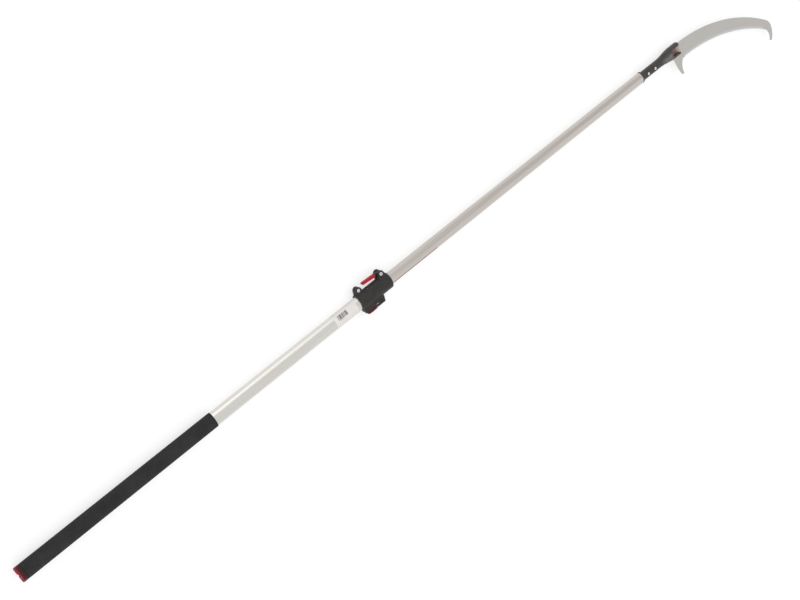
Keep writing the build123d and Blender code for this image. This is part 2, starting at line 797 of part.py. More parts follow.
# Rivet that holds the spigot, set from the underside
with BuildPart() as holder_rivet:
    with BuildSketch(Plane.XY.offset(rivet_seat_z)):
        with Locations((rivet_x, 0)):
            Circle(rivet_head_radius)
    extrude(amount=-rivet_head_height)
    chamfer(holder_rivet.faces().sort_by(Axis.Z)[0].edges(), rivet_edge)
    with BuildSketch(Plane.XY.offset(rivet_seat_z)):
        with Locations((rivet_x, 0)):
            Circle(rivet_radius)
    extrude(amount=rivet_length)
holder_rivet.part.label = "holder_rivet"
export_step(holder_rivet.part, "parts/holder_rivet.step")

# Saw blade: tang, curved body, hook at the tip, sickle at the heel, and the row of teeth
tooth_pitch_angle = tooth_turn / tooth_count
tooth_pitch = tooth_radius * radians(tooth_pitch_angle)
gullet_half = (tooth_pitch - tooth_land) / 2
gullet_apex = tooth_rake * tooth_pitch
past_arc = 1 + overcut / tooth_depth     # the sides of a gullet run on past the tooth arc
tooth_centre = (tooth_root, tooth_y - tooth_radius)
tooth_end_angle = 90 - tooth_turn
with BuildPart() as saw_blade:
    with BuildSketch(Plane.XY) as blade_outline:
        with BuildLine():
            tang_top = Polyline(
                sickle_root,
                (shoulder_x, -tang_half_width),
                (tang_start, -tang_half_width),
                (tang_start, tang_half_width),
                (tang_end, tang_half_width),
                (shoulder_x, back_y),
                (back_root, back_y),
            )
            back = JernArc(tang_top @ 1, (1, 0), back_radius, -back_turn)
            nose = JernArc(back @ 1, back % 1, nose_radius, back_turn - 90)
            hook_outer = JernArc(nose @ 1, nose % 1, hook_outer_radius, -hook_outer_turn)
            hook_tip = Line(hook_outer @ 1, (hook_outer @ 1) + Vector(-hook_tip_width, hook_tip_rise))
            tooth_edge = CenterArc(tooth_centre, tooth_radius, tooth_end_angle, tooth_turn)
            tooth_run = Line(tooth_edge @ 0, (tooth_edge @ 0) - (tooth_edge % 0) * hook_run)
            ThreePointArc(hook_tip @ 1, hook_inner_bulge, tooth_run @ 1)
            heel = Line(tooth_edge @ 1, sickle_heel)
            sickle_edge = ThreePointArc(heel @ 1, sickle_inner, sickle_tip_inner)
            Line(sickle_edge @ 1, sickle_tip_outer)
            ThreePointArc(sickle_tip_outer, sickle_outer, sickle_root)
        make_face()
        for corner in (hook_tip @ 0, hook_tip @ 1, sickle_tip_outer):
            fillet(blade_outline.vertices().sort_by_distance(corner)[0], tip_corner)
        with Locations(*[(x, 0) for x in blade_bolt_x]):
            Circle(blade_bolt_radius + seat_gap, mode=Mode.SUBTRACT)
        with Locations(tooth_centre):
            with PolarLocations(
                tooth_radius, tooth_count, tooth_end_angle + tooth_pitch_angle / 2, tooth_turn
            ):
                Polygon(
                    (-overcut, gullet_apex - (gullet_apex + gullet_half) * past_arc),
                    (-overcut, gullet_apex - (gullet_apex - gullet_half) * past_arc),
                    (tooth_depth, gullet_apex),
                    align=None,
                    mode=Mode.SUBTRACT,
                )
    extrude(amount=blade_thickness / 2, both=True)

    # The inner edge of the sickle is ground from both sides
    edge_middle = sickle_edge @ 0.5
    sickle_wall = saw_blade.faces().sort_by_distance(edge_middle)[0]
    sickle_rims = sickle_wall.edges().filter_by(GeomType.CIRCLE)
    chamfer(sickle_rims, sickle_bevel_depth, sickle_bevel_width, reference=sickle_wall)
saw_blade.part.label = "saw_blade"
export_step(saw_blade.part, "parts/saw_blade.step")

# Blade bolts, hexagon heads on the upper side
with BuildPart() as blade_bolts:
    with BuildSketch(Plane.XY.offset(spot_height)):
        with Locations(*[(x, 0) for x in blade_bolt_x]):
            RegularPolygon(blade_hex_flat / 2, 6, major_radius=False)
    extrude(amount=hex_height)
    chamfer(blade_bolts.faces().sort_by(Axis.Z)[-2:].edges(), hex_edge)
    with BuildSketch(Plane.XY.offset(spot_height)):
        with Locations(*[(x, 0) for x in blade_bolt_x]):
            Circle(blade_bolt_radius)
    extrude(amount=-(2 * spot_height + blade_washer_thickness + blade_nut_height + thread_end))
blade_bolts.part.label = "blade_bolts"
export_step(blade_bolts.part, "parts/blade_bolts.step")

# Washers and nuts under the neck
with BuildPart() as blade_washers:
    with BuildSketch(Plane.XY.offset(-spot_height)):
        with Locations(*[(x, 0) for x in blade_bolt_x]):
            Circle(blade_washer_radius)
            Circle(blade_bolt_radius + seat_gap, mode=Mode.SUBTRACT)
    extrude(amount=-blade_washer_thickness)
blade_washers.part.label = "blade_washers"
export_step(blade_washers.part, "parts/blade_washers.step")

with BuildPart() as blade_nuts:
    with BuildSketch(Plane.XY.offset(-spot_height - blade_washer_thickness)):
        with Locations(*[(x, 0) for x in blade_bolt_x]):
            RegularPolygon(blade_hex_flat / 2, 6, major_radius=False)
            Circle(blade_bolt_radius + seat_gap, mode=Mode.SUBTRACT)
    extrude(amount=-blade_nut_height)
blade_nuts.part.label = "blade_nuts"
export_step(blade_nuts.part, "parts/blade_nuts.step")
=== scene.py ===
# Telescoping pole saw: a knurled grip, two oval aluminium tubes, a clamp collar with a cam lever and
# a lock button, and a curved pull saw with a tip hook and a heel sickle in a black holder.
# Units are metres, in the frame of the model: +X along the pole, teeth towards -Y, +Z up.
import json
from math import atan2, hypot, pi, radians, sqrt

import bpy
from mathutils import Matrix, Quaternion, Vector


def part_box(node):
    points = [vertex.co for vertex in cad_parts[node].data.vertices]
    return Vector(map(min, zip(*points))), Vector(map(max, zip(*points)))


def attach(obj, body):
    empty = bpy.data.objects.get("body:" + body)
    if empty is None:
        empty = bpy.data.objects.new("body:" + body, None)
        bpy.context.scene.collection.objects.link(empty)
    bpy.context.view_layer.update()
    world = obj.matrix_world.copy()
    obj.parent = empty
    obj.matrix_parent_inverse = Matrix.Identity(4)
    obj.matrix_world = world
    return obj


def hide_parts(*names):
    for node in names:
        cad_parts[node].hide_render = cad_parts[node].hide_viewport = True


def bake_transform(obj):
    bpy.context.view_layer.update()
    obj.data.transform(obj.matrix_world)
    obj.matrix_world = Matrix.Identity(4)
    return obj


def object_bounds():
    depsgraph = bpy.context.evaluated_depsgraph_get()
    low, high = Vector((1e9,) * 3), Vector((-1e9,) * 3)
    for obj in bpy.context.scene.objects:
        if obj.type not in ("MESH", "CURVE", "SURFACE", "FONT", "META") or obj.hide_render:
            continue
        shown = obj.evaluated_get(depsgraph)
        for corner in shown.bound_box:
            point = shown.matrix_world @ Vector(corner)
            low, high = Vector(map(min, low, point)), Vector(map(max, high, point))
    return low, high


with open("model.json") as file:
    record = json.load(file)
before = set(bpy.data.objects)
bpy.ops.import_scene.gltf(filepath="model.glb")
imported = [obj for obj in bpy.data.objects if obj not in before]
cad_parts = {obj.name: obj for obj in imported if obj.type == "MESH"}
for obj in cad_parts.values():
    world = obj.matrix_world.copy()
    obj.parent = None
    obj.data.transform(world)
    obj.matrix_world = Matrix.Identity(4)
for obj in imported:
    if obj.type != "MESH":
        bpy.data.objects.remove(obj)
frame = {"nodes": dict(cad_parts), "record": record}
cad_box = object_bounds()
nodes = frame["nodes"]
record = frame["record"]
body_of_node = {node: body for body, held in record["behaviour"]["bodies"].items() for node in held}
slot_of_node = {row["node"]: row["material_slot"] for row in record["subparts"]}
mm = 0.001

# How near points lie to count as one, as lying on a rim and as lying on a face, and how little
# faces turn to count as one flat face
merge_reach = 0.004 * mm
rim_reach = 0.01 * mm
face_reach = 0.05 * mm
flat_turn = radians(0.6)

# The pole's oval: end arcs of one radius, and flank arcs that join them without a corner
oval_half_width = 19.0 * mm
oval_half_height = 15.3 * mm
oval_end_radius = 12.5 * mm
oval_end_offset = oval_half_width - oval_end_radius
oval_flank_radius = (oval_end_offset**2 + oval_half_height**2 - oval_end_radius**2) / (
    2 * (oval_half_height - oval_end_radius)
)
oval_flank_offset = oval_flank_radius - oval_half_height
oval_join_angle = atan2(oval_flank_offset, oval_end_offset)
tube_segments = 112

# Lower and upper tube
lower_wall = 1.5 * mm
upper_growth = -2.3 * mm
upper_wall = 1.4 * mm
tube_rim = 0.3 * mm
tube_smooth_angle = 20     # keeps the broken edges out of the shading of the long walls
lock_hole_radius = 3.5 * mm
lock_hole_segments = 40
lock_hole_first = 1055.0 * mm
lock_hole_pitch = 140.0 * mm
lock_hole_count = 8

# Grip sleeve with raised diamonds between plain rims
grip_growth = 0.95 * mm
grip_bore_growth = 0.05 * mm
knurl_columns = 26
knurl_row = 4.6 * mm
knurl_height = 0.55 * mm
knurl_shoulder = 0.75 * mm
knurl_smooth_angle = 25
grip_rim = 3.0 * mm
rim_slope = 0.3            # share of the rim that rises from the ground of the knurl

# Row of teeth and the arc that it follows
tooth_radius = 678.0 * mm
tooth_root = Vector((2308.0 * mm, -37.0 * mm, 0))
tooth_centre = tooth_root - Vector((0, tooth_radius, 0))
tooth_turn = radians(31.1)
tooth_count = 64
tooth_grind = 1.9 * mm
tooth_end_share = 0.2      # points nearer than this share of a pitch to an end of the row are no tips
blade_smooth_angle = 20

# Band ground behind the teeth: its width, and how it fades at its back, beyond the tips and past
# the ends of the row
ground_width = 8.0 * mm
ground_back_fade = (1.2 * ground_width, 0.7 * ground_width)
ground_front_fade = (-1.2 * mm, -0.4 * mm)
ground_end_fade = 0.002

# Rust at the root of the blade: it fades out along X, and below its foot
root_stain_start = 2276.0 * mm
root_stain_end = 2299.0 * mm
root_stain_foot = -11.0 * mm
root_stain_fade = 2.0 * mm

# Where a grey sheen is painted on the flare of the holder: it fades in, stays and fades out along X, and
# fades in along Y
painted_sheen_x = (2200.0 * mm, 2224.0 * mm, 2252.0 * mm, 2262.0 * mm)
painted_sheen_y = (7.0 * mm, -2.0 * mm)

# Where rust from the blade has stained the holder, round its notch: it fades in along X and along Y
rusty_x = (2252.0 * mm, 2260.0 * mm)
rusty_y = (14.0 * mm, 11.0 * mm)

# Ears of the collar: the axes of their bolts, the heights of their outer faces, the reach of the
# bolt seats, where the ears start, and how wide their rims are rounded
ear_x = (1009.5 * mm, 1083.5 * mm)
ear_y = 31.0 * mm
ear_faces = (8.0 * mm, 12.5 * mm)
ear_seat_reach = 7.5 * mm
ear_root_y = 15.0 * mm
ear_rounding = 1.0 * mm

# Holder: only rims past the end of its neck are rounded
neck_end = 2205.0 * mm
mouth_rounding = 0.6 * mm

# End cap: the cells that its skin is cast from, how often it is smoothed, where painted shade fades in
# along X, and the darker groove
cap_cell = 0.4 * mm
cap_smoothings = 8
cap_shade_x = (1.5 * mm, 7.5 * mm)
groove_half_width = 7.0 * mm
groove_dark_y = (groove_half_width, 0.4 * groove_half_width)

# Thumb pad of the lock button: an arc with ribs across it
pad_middle_x = 1019.3 * mm
pad_face_y = -39.9 * mm
pad_back_y = -34.5 * mm
pad_arc_radius = 90.6 * mm
pad_rounding = 0.4 * mm
rib_count = 6
rib_pitch = 4.4 * mm
rib_radius = 0.8 * mm
rib_length = 15.0 * mm
rib_sink = 0.25 * rib_radius
rib_rounding = 0.3 * mm
rib_segments = 20

# Pale inlay on the bar in the side panels of the lock box
mark_x = 1038.0 * mm
mark_y = -29.0 * mm
mark_length = 7.6 * mm
mark_width = 2.1 * mm
mark_thickness = 0.3 * mm
mark_rounding = 0.4 * mark_thickness
box_half_height = 10.0 * mm

# Plain label on the lower tube, and the thin stripe on the upper tube
label_start = 912.0 * mm
label_end = 984.0 * mm
label_angles = (radians(-8), radians(138))
label_steps = 60
label_bars = (922.0 * mm, 953.0 * mm)
label_bar_pitch = 2.6 * mm
label_bar_angles = (radians(36), radians(80))
label_line = (926.0 * mm, 942.0 * mm)
label_line_angles = (radians(86), radians(91))
stripe_start = 1106.0 * mm
stripe_end = 1262.0 * mm
stripe_angles = (radians(133), radians(146))
stripe_steps = 8
film_growth = 0.06 * mm

# Floor
floor_half_size = 14.0
floor_middle_x = 1.1
floor_drop = 0.4 * mm
floor_colour = 0.42
floor_glow = 0.66

# Sky: its level along X, the dark card's way, how it fades and its depth, and the light rim at the horizon
overhead_x = (0.3, 0.44)
overhead_level = (0.89, 0.99)
dark_card_way = (0.0, 0.391, 0.921)
dark_card_lean = (0.60, 0.80)
dark_card_x = (0.30, 0.62)
dark_card_depth = 0.32
horizon_z = (0.03, 0.08)
horizon_level = 1.0
world_light = 1.02

# Lamp and camera
lamp_place = Vector((1.1, 4.0, 2.4))
lamp_aim = Vector((0.8, 0.0, 0.0))
lamp_size = 3.2
lamp_power = 19
camera_eye = Vector((-0.0026, 1.156, 2.2687))
camera_aim = Vector((1.1028, -0.0667, 0.0))
camera_roll = radians(104.63)
camera_lens = 49.5
camera_sensor = 36.0
camera_reach = 100.0

# Finishes: where nearly all values of a noise lie, and how often a rounded edge is looked up
noise_range = (0.3, 0.7)
bevel_samples = 6


# Selecting and finishing pieces


def deselect():
    if bpy.context.object and bpy.context.object.mode != "OBJECT":
        bpy.ops.object.mode_set(mode="OBJECT")
    bpy.ops.object.select_all(action="DESELECT")


def make_active(piece):
    deselect()
    piece.select_set(True)
    bpy.context.view_layer.objects.active = piece


def edit_selected(piece):
    """Opens a piece for editing and keeps what is selected on it."""
    make_active(piece)
    bpy.ops.object.mode_set(mode="EDIT")


def edit(piece, select_mode="VERT"):
    """Opens a piece for editing with all of it selected."""
    edit_selected(piece)
    bpy.ops.mesh.select_mode(type=select_mode)
    bpy.ops.mesh.select_all(action="SELECT")


def leave_edit():
    bpy.ops.object.mode_set(mode="OBJECT")


def apply_modifier(piece, kind, **settings):
    make_active(piece)
    modifier = piece.modifiers.new(kind.title(), kind)
    for name, value in settings.items():
        setattr(modifier, name, value)
    bpy.ops.object.modifier_apply(modifier=modifier.name)


def round_rims(piece, width, angle, chosen):
    """Rounds the edges that are sharper than the angle and are chosen by the places of their two ends."""
    edit(piece, "EDGE")
    bpy.ops.mesh.select_all(action="DESELECT")
    bpy.ops.mesh.edges_select_sharp(sharpness=radians(angle))
    leave_edit()
    for vertex in piece.data.vertices:
        vertex.select = False
    for edge in piece.data.edges:
        ends = [piece.data.vertices[index] for index in edge.vertices]
        edge.select = edge.select and all(chosen(end.co) for end in ends)
        for end in ends:
            end.select = end.select or edge.select
    edit_selected(piece)
    bpy.ops.mesh.bevel(offset=width, segments=3, affect="EDGES", clamp_overlap=False)
    leave_edit()


def soften(piece, width, angle=28, segments=2):
    """Rounds every edge that is sharper than the angle."""
    apply_modifier(
        piece,
        "BEVEL",
        width=width,
        segments=segments,
        limit_method="ANGLE",
        angle_limit=radians(angle),
        use_clamp_overlap=False,
    )


def smooth(piece, angle=32):
    make_active(piece)
    bpy.ops.object.shade_smooth_by_angle(angle=radians(angle))


def coat(piece, finish):
    piece.data.materials.clear()
    piece.data.materials.append(finish)


def fasten(piece, body, slot, finish, *replaced):
    """Gives a piece its finish, the body it moves with and the nodes it stands for."""
    coat(piece, finish)
    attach(piece, body)
    if replaced:
        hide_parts(*replaced)


def copy_of_node(node, name, in_triangles=False):
    """A merged copy of a node's mesh, its flat faces joined up and, if asked, cut into even triangles."""
    piece = bpy.data.objects.new(name, nodes[node].data.copy())
    bpy.context.scene.collection.objects.link(piece)
    edit(piece)
    bpy.ops.mesh.remove_doubles(threshold=merge_reach)
    bpy.ops.mesh.dissolve_limited(angle_limit=flat_turn)
    if in_triangles:
        bpy.ops.mesh.quads_convert_to_tris(quad_method="BEAUTY", ngon_method="BEAUTY")
    leave_edit()
    return piece


# The oval of the pole


def on_oval(y, z, growth):
    """The point of the grown oval that lies square to (y, z)."""
    side_y = 1 if y >= 0 else -1
    side_z = 1 if z >= 0 else -1
    if atan2(abs(z), abs(y) - oval_end_offset) <= oval_join_angle:
        centre_y, centre_z = oval_end_offset, 0.0
        radius = oval_end_radius + growth
    else:
        centre_y, centre_z = 0.0, -oval_flank_offset
        radius = oval_flank_radius + growth
    run_y = abs(y) - centre_y
    run_z = abs(z) - centre_z
    reach = radius / hypot(run_y, run_z)
    return side_y * (centre_y + run_y * reach), side_z * (centre_z + run_z * reach)


def push_to_oval(piece, growth, chosen=None):
    for vertex in piece.data.vertices:
        if chosen is None or chosen(vertex):
            y, z = on_oval(vertex.co.y, vertex.co.z, growth)
            vertex.co = (vertex.co.x, y, z)


def oval_ring(name, x, growth, segments):
    """An open ring of points round the oval, square to the pole."""
    deselect()
    bpy.ops.mesh.primitive_circle_add(
        vertices=segments, radius=1.0, location=(x, 0, 0), rotation=(0, pi / 2, 0)
    )
    piece = bpy.context.object
    piece.name = name
    bpy.ops.object.transform_apply(location=True, rotation=True, scale=True)
    for vertex in piece.data.vertices:
        vertex.co = (x, vertex.co.y * oval_half_width, vertex.co.z * oval_half_height)
    push_to_oval(piece, growth)
    return piece


def extrude_along(piece, length):
    edit(piece, "EDGE")
    bpy.ops.mesh.extrude_region_move(TRANSFORM_OT_translate={"value": (length, 0, 0)})
    bpy.ops.mesh.select_all(action="SELECT")
    bpy.ops.mesh.normals_make_consistent(inside=False)
    leave_edit()


def oval_tube(name, start, end, growth, wall):
    """A drawn tube with a broken edge at both ends."""
    piece = oval_ring(name, start, growth, tube_segments)
    extrude_along(piece, end - start)
    apply_modifier(piece, "SOLIDIFY", thickness=wall, offset=-1, use_even_offset=True)
    soften(piece, tube_rim, angle=50)
    return piece


def oval_film(name, start, end, angles, growth, steps):
    """A thin curved patch on the pole between two angles round its axis, 0 towards +Y."""
    deselect()
    bpy.ops.mesh.primitive_grid_add(x_subdivisions=1, y_subdivisions=steps, size=1.0)
    piece = bpy.context.object
    piece.name = name
    for vertex in piece.data.vertices:
        angle = angles[0] + (angles[1] - angles[0]) * (vertex.co.y + 0.5)
        place = Quaternion((1, 0, 0), angle) @ Vector((0, oval_half_width, 0))
        vertex.co = (start + (end - start) * (vertex.co.x + 0.5), place.y, place.z)
    push_to_oval(piece, growth)
    apply_modifier(piece, "SOLIDIFY", thickness=film_growth, offset=-1)
    smooth(piece)
    return piece


# Finishes: node helpers, shared effects and one function for each material


def add(tree, kind, links=None, **settings):
    """A node with its settings, and with its inputs linked or set."""
    node = tree.nodes.new(kind)
    for name, value in settings.items():
        setattr(node, name, value)
    for name, value in (links or {}).items():
        if isinstance(value, bpy.types.NodeSocket):
            tree.links.new(value, node.inputs[name])
        else:
            node.inputs[name].default_value = value
    return node


def math(tree, operation, first, second=0.0, clamp=False):
    links = {0: first, 1: second}
    return add(tree, "ShaderNodeMath", links, operation=operation, use_clamp=clamp).outputs[0]


def dot(tree, first, second):
    links = {0: first, 1: second}
    return add(tree, "ShaderNodeVectorMath", links, operation="DOT_PRODUCT").outputs["Value"]


def spread(tree, value, low, high, to_low=0.0, to_high=1.0):
    """Maps a value from one range to another, held at the ends."""
    links = {"Value": value, "From Min": low, "From Max": high, "To Min": to_low, "To Max": to_high}
    return add(tree, "ShaderNodeMapRange", links).outputs[0]


def blend_colour(tree, share, first, second):
    node = add(tree, "ShaderNodeMix", data_type="RGBA")
    for index, value in ((0, share), (6, first), (7, second)):
        if isinstance(value, bpy.types.NodeSocket):
            tree.links.new(value, node.inputs[index])
        else:
            node.inputs[index].default_value = value
    return node.outputs[2]


def new_group(name, inputs, outputs):
    """An empty node group with float sockets, and its input and output nodes."""
    group = bpy.data.node_groups.new(name, "ShaderNodeTree")
    for label, value in inputs.items():
        socket = group.interface.new_socket(label, in_out="INPUT", socket_type="NodeSocketFloat")
        socket.default_value = value
    for label in outputs:
        group.interface.new_socket(label, in_out="OUTPUT", socket_type="NodeSocketFloat")
    return group, group.nodes.new("NodeGroupInput"), group.nodes.new("NodeGroupOutput")


def object_place(tree):
    return add(tree, "ShaderNodeTexCoord").outputs["Object"]


def noise(tree, place, scale, detail=2.0, roughness=0.5):
    links = {"Vector": place, "Scale": scale, "Detail": detail, "Roughness": roughness}
    return add(tree, "ShaderNodeTexNoise", links).outputs["Fac"]


def make_fine_grain():
    """Pores of a moulded skin, and the slow mottle of its colour."""
    group, given, result = new_group(
        "fine_grain", {"Grain Size": 0.5 * mm, "Patch Size": 18 * mm}, ("Height", "Mottle")
    )
    place = object_place(group)
    grain_scale = math(group, "DIVIDE", 1.0, given.outputs["Grain Size"])
    grain = noise(group, place, grain_scale, detail=3.0)
    patch_scale = math(group, "DIVIDE", 1.0, given.outputs["Patch Size"])
    patch = noise(group, place, patch_scale, detail=4.0, roughness=0.6)
    group.links.new(grain, result.inputs["Height"])
    group.links.new(spread(group, patch, *noise_range), result.inputs["Mottle"])
    return group


def make_drawn_lines():
    """Fine lines along the pole, as a drawing die leaves them."""
    group, given, result = new_group(
        "drawn_lines", {"Line Width": 0.4 * mm, "Line Length": 160 * mm}, ("Line", "Band")
    )
    across = math(group, "DIVIDE", 1.0, given.outputs["Line Width"])
    along = math(group, "DIVIDE", 1.0, given.outputs["Line Length"])
    for label, share in (("Line", 1.0), ("Band", 0.12)):
        wide = math(group, "MULTIPLY", across, share)
        scale = add(group, "ShaderNodeCombineXYZ", {"X": along, "Y": wide, "Z": wide}).outputs[0]
        place = add(group, "ShaderNodeVectorMath", {0: object_place(group), 1: scale}, operation="MULTIPLY")
        streak = noise(group, place.outputs[0], scale=1.0, detail=3.0, roughness=0.55)
        group.links.new(spread(group, streak, low=0.28, high=0.72), result.inputs[label])
    return group


def make_pale_edges():
    """Where corners are paler: the turn of the surface within a radius, broken up by noise. It is wear, and
    on the collar and the thumb pad partly a painted highlight.
    """
    group, given, result = new_group(
        "pale_edges", {"Radius": 0.8 * mm, "Break Size": 6 * mm}, ("Paleness",)
    )
    rounded = add(group, "ShaderNodeBevel", {"Radius": given.outputs["Radius"]}, samples=bevel_samples)
    facing = add(group, "ShaderNodeNewGeometry").outputs["Normal"]
    edge = spread(group, dot(group, rounded.outputs[0], facing), low=0.99, high=0.82)
    break_scale = math(group, "DIVIDE", 1.0, given.outputs["Break Size"])
    broken = noise(group, object_place(group), break_scale, detail=5.0, roughness=0.65)
    broken = spread(group, broken, low=0.36, high=0.58)
    group.links.new(math(group, "MULTIPLY", edge, broken, clamp=True), result.inputs["Paleness"])
    return group


def make_ground_arc():
    """Grinding lines round the centre of the tooth arc, the depth behind it and the turn along it."""
    group, given, result = new_group(
        "ground_arc", {"Line Width": 0.5 * mm, "Line Turns": 9.0}, ("Line", "Depth", "Turn")
    )
    shift = add(group, "ShaderNodeMapping", {"Vector": object_place(group), "Location": -tooth_centre})
    parts = add(group, "ShaderNodeSeparateXYZ", {"Vector": shift.outputs[0]})
    reach = add(group, "ShaderNodeVectorMath", {0: shift.outputs[0]}, operation="LENGTH").outputs["Value"]
    turn = math(group, "ARCTAN2", parts.outputs["Y"], parts.outputs["X"])
    across = math(group, "DIVIDE", reach, given.outputs["Line Width"])
    along = math(group, "MULTIPLY", turn, given.outputs["Line Turns"])
    place = add(group, "ShaderNodeCombineXYZ", {"X": across, "Y": along, "Z": parts.outputs["Z"]})
    streak = noise(group, place.outputs[0], scale=1.0, detail=3.0, roughness=0.6)
    group.links.new(spread(group, streak, *noise_range), result.inputs["Line"])
    group.links.new(math(group, "SUBTRACT", reach, tooth_radius), result.inputs["Depth"])
    group.links.new(math(group, "SUBTRACT", pi / 2, turn), result.inputs["Turn"])
    return group


fine_grain = make_fine_grain()
drawn_lines = make_drawn_lines()
pale_edges = make_pale_edges()
ground_arc = make_ground_arc()


def new_finish(name):
    finish = bpy.data.materials.new(name)
    finish.use_nodes = True
    return finish, finish.node_tree, finish.node_tree.nodes["Principled BSDF"]


def use_group(tree, group, **values):
    node = add(tree, "ShaderNodeGroup", node_tree=group)
    for label, value in values.items():
        node.inputs[label.replace("_", " ")].default_value = value
    return node.outputs


def bump(tree, shader, height, distance, strength=1.0, edge_radius=0.0):
    """Grain in the surface, over edges that look rounded by the radius."""
    links = {"Height": height, "Distance": distance, "Strength": strength}
    if edge_radius:
        rounded = add(tree, "ShaderNodeBevel", {"Radius": edge_radius}, samples=bevel_samples)
        links["Normal"] = rounded.outputs[0]
    tree.links.new(add(tree, "ShaderNodeBump", links).outputs[0], shader.inputs["Normal"])


def moulded(name, dark, light, pale_edge, rough, grain, grain_depth, pale_edge_radius, specular=0.5, edge_radius=0.0):
    """Moulded plastic: mottled colour, grained skin, and paler edges. These are wear, and on some parts
    partly a painted highlight.
    """
    finish, tree, shader = new_finish(name)
    skin = use_group(tree, fine_grain, Grain_Size=grain)
    edge_share = use_group(tree, pale_edges, Radius=pale_edge_radius)
    colour = blend_colour(tree, skin["Mottle"], (*dark, 1), (*light, 1))
    colour = blend_colour(tree, edge_share["Paleness"], colour, (*pale_edge, 1))
    tree.links.new(colour, shader.inputs["Base Color"])
    tree.links.new(spread(tree, skin["Height"], *noise_range, *rough), shader.inputs["Roughness"])
    shader.inputs["Specular IOR Level"].default_value = specular
    bump(tree, shader, skin["Height"], distance=grain_depth, edge_radius=edge_radius)
    return finish


def tube_finish(name, dark, light, warm, rough):
    """Satin anodised aluminium with die lines along the pole, and slow warm patches."""
    finish, tree, shader = new_finish(name)
    lines = use_group(tree, drawn_lines)
    skin = use_group(tree, fine_grain, Grain_Size=0.35 * mm, Patch_Size=60 * mm)
    colour = blend_colour(tree, lines["Band"], (*dark, 1), (*light, 1))
    warm_share = math(tree, "MULTIPLY", skin["Mottle"], 0.35)
    colour = blend_colour(tree, warm_share, colour, (*warm, 1))
    tree.links.new(colour, shader.inputs["Base Color"])
    tree.links.new(spread(tree, lines["Line"], 0.0, 1.0, *rough), shader.inputs["Roughness"])
    shader.inputs["Metallic"].default_value = 1.0
    bump(tree, shader, lines["Line"], distance=0.006 * mm, strength=0.3)
    return finish


def grip_finish():
    """Black rubber, darker in the grooves of the knurl and paler and smoother on its crests."""
    finish, tree, shader = new_finish("grip_rubber")
    crest = add(tree, "ShaderNodeAttribute", attribute_name="crest").outputs["Fac"]
    skin = use_group(tree, fine_grain, Grain_Size=0.4 * mm, Patch_Size=35 * mm)
    groove_tone = blend_colour(tree, skin["Mottle"], (0.015, 0.015, 0.016, 1), (0.026, 0.025, 0.024, 1))
    paler = blend_colour(tree, skin["Mottle"], (0.021, 0.021, 0.022, 1), (0.036, 0.036, 0.036, 1))
    tree.links.new(blend_colour(tree, crest, groove_tone, paler), shader.inputs["Base Color"])
    tree.links.new(spread(tree, crest, 0.0, 1.0, to_low=0.86, to_high=0.62), shader.inputs["Roughness"])
    shader.inputs["Specular IOR Level"].default_value = 0.35
    bump(tree, shader, skin["Height"], distance=0.05 * mm)
    return finish


def blade_finish():
    """Satin ground steel, a paler band ground behind the teeth, faint stains and rust at the root."""
    finish, tree, shader = new_finish("blade_steel")
    lines = use_group(tree, ground_arc)
    skin = use_group(tree, fine_grain, Grain_Size=0.6 * mm, Patch_Size=70 * mm)
    place = add(tree, "ShaderNodeSeparateXYZ", {"Vector": object_place(tree)}).outputs
    colour = blend_colour(tree, lines["Line"], (0.495, 0.487, 0.465, 1), (0.555, 0.547, 0.52, 1))
    warm_share = math(tree, "MULTIPLY", skin["Mottle"], 0.4)
    colour = blend_colour(tree, warm_share, colour, (0.51, 0.46, 0.42, 1))
    ground = spread(tree, lines["Depth"], *ground_back_fade)
    for value, out_of, into in (
        (lines["Depth"], *ground_front_fade),
        (lines["Turn"], -ground_end_fade, 0.0),
        (lines["Turn"], tooth_turn + ground_end_fade, tooth_turn),
    ):
        ground = math(tree, "MULTIPLY", ground, spread(tree, value, out_of, into))
    colour = blend_colour(tree, ground, colour, (0.585, 0.59, 0.595, 1))
    streaks = use_group(tree, fine_grain, Grain_Size=1.2 * mm, Patch_Size=6 * mm)
    rust = blend_colour(tree, streaks["Mottle"], (0.050, 0.020, 0.016, 1), (0.34, 0.20, 0.15, 1))
    stain = spread(tree, streaks["Height"], 0.2, 0.6, to_low=0.75, to_high=1.0)
    for value, out_of, into in (
        (place["X"], root_stain_end, root_stain_start),
        (place["Y"], root_stain_foot - root_stain_fade, root_stain_foot),
    ):
        stain = math(tree, "MULTIPLY", stain, spread(tree, value, out_of, into))
    tree.links.new(blend_colour(tree, stain, colour, rust), shader.inputs["Base Color"])
    rough = spread(tree, lines["Line"], 0.0, 1.0, to_low=0.36, to_high=0.50)
    tree.links.new(rough, shader.inputs["Roughness"])
    shader.inputs["Metallic"].default_value = 1.0
    bump(tree, shader, lines["Line"], distance=0.02 * mm, strength=0.6)
    return finish


